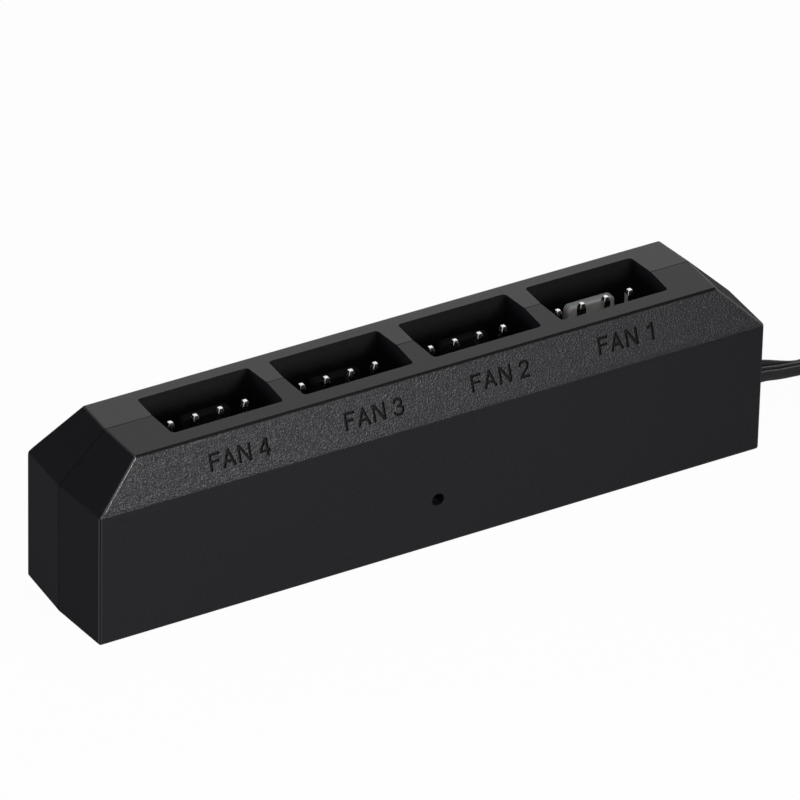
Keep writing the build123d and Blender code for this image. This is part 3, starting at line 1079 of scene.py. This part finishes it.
@dataclass(frozen=True)
class Softbox:
    """Rectangular lamp that faces a point."""

    name: str
    place: Point
    target: Point
    size: tuple[float, float]
    power: float
    spread: float = 180.0

    def build(self) -> None:
        """Adds the lamp."""
        lamp = bpy.data.lights.new(self.name, "AREA")
        lamp.shape = "RECTANGLE"
        lamp.size = self.size[0] * MM
        lamp.size_y = self.size[1] * MM
        lamp.energy = self.power
        lamp.spread = math.radians(self.spread)
        thing = new_object(self.name, lamp)
        thing.location = metres(self.place)
        aim = metres(self.target) - thing.location
        thing.rotation_euler = aim.to_track_quat("-Z", "Y").to_euler()
        thing.visible_camera = False


@dataclass
class Studio:
    """White surroundings, floor, lamps and camera."""

    ambient: float = 0.3
    floor_size: float = 3000.0
    floor_glow: float = 0.97
    floor_tone: float = 0.86
    eye: Point = (-358.261, -589.644, 434.959)
    turn: Point = (58.47243, -1.17377, -30.56072)
    lens: float = 405.0
    sensor: float = 36.0
    clip: tuple[float, float] = (0.01, 50.0)
    lamps: tuple[Softbox, ...] = (
        Softbox("Rear low softbox", (250.0, 425.0, 110.0), (0.0, 0.0, 17.0), (350.0, 120.0), 0.68),
        Softbox("Front softbox", (39.0, -227.0, 75.0), (-42.0, -6.0, 15.0), (60.0, 60.0), 0.066, 64.0),
        Softbox("Left fill", (-420.0, 60.0, 40.0), (-35.0, 0.0, 8.0), (200.0, 80.0), 1.0),
    )

    def world(self) -> None:
        """White behind everything, at a plain level of light."""
        world = bpy.data.worlds.new("White surroundings")
        world.use_nodes = True
        bpy.context.scene.world = world
        canvas = NodeCanvas(world.node_tree)
        world.node_tree.nodes.clear()
        seen = canvas.background_rays()
        light = canvas.add("ShaderNodeBackground")
        light.inputs["Color"].default_value = (1.0, 1.0, 1.0, 1.0)
        light.inputs["Strength"].default_value = self.ambient
        white = canvas.add("ShaderNodeBackground")
        white.inputs["Color"].default_value = (1.0, 1.0, 1.0, 1.0)
        white.inputs["Strength"].default_value = 1.0
        mix = canvas.add("ShaderNodeMixShader")
        canvas.join(seen, mix.inputs["Fac"])
        canvas.join(light.outputs["Background"], mix.inputs[1])
        canvas.join(white.outputs["Background"], mix.inputs[2])
        end = canvas.add("ShaderNodeOutputWorld")
        canvas.join(mix.outputs["Shader"], end.inputs["Surface"])

    def floor(self) -> None:
        """Pale floor that keeps the object's shadow."""
        form = bmesh.new()
        bmesh.ops.create_grid(form, x_segments=1, y_segments=1, size=self.floor_size / 2 * MM)
        mesh = bpy.data.meshes.new("studio_floor")
        form.to_mesh(mesh)
        form.free()
        floor = new_object("studio_floor", mesh)
        material = bpy.data.materials.new("Floor white")
        material.use_nodes = True
        canvas = NodeCanvas(material.node_tree)
        material.node_tree.nodes.clear()
        seen = canvas.background_rays()
        share = canvas.math("MULTIPLY", seen, self.floor_glow)
        matte = canvas.add("ShaderNodeBsdfDiffuse")
        matte.inputs["Color"].default_value = (*[self.floor_tone] * 3, 1.0)
        glow = canvas.add("ShaderNodeEmission")
        glow.inputs["Strength"].default_value = 1.0
        mix = canvas.add("ShaderNodeMixShader")
        canvas.join(share, mix.inputs["Fac"])
        canvas.join(matte.outputs["BSDF"], mix.inputs[1])
        canvas.join(glow.outputs["Emission"], mix.inputs[2])
        end = canvas.add("ShaderNodeOutputMaterial")
        canvas.join(mix.outputs["Shader"], end.inputs["Surface"])
        floor.data.materials.append(material)

    def camera(self) -> None:
        """Camera at the photograph's viewing angle."""
        data = bpy.data.cameras.new("Camera")
        data.lens = self.lens
        data.sensor_width = self.sensor
        data.clip_start, data.clip_end = self.clip
        thing = new_object("Camera", data)
        thing.location = metres(self.eye)
        thing.rotation_euler = Euler([math.radians(angle) for angle in self.turn])
        bpy.context.scene.camera = thing

    def build(self) -> None:
        """Sets up everything round the object."""
        bpy.context.scene.view_settings.view_transform = "Standard"
        self.world()
        self.floor()
        for lamp in self.lamps:
            lamp.build()
        self.camera()


def main() -> None:
    """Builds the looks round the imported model."""
    logging.basicConfig(level=logging.INFO, format="%(message)s")
    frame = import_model()
    nodes = frame["nodes"]
    Studio().build()
    Lead().build(nodes)
    Housing().build(nodes)
    Headers().build(nodes)
    Board().dress(nodes)


if __name__ == "__main__":
    main()
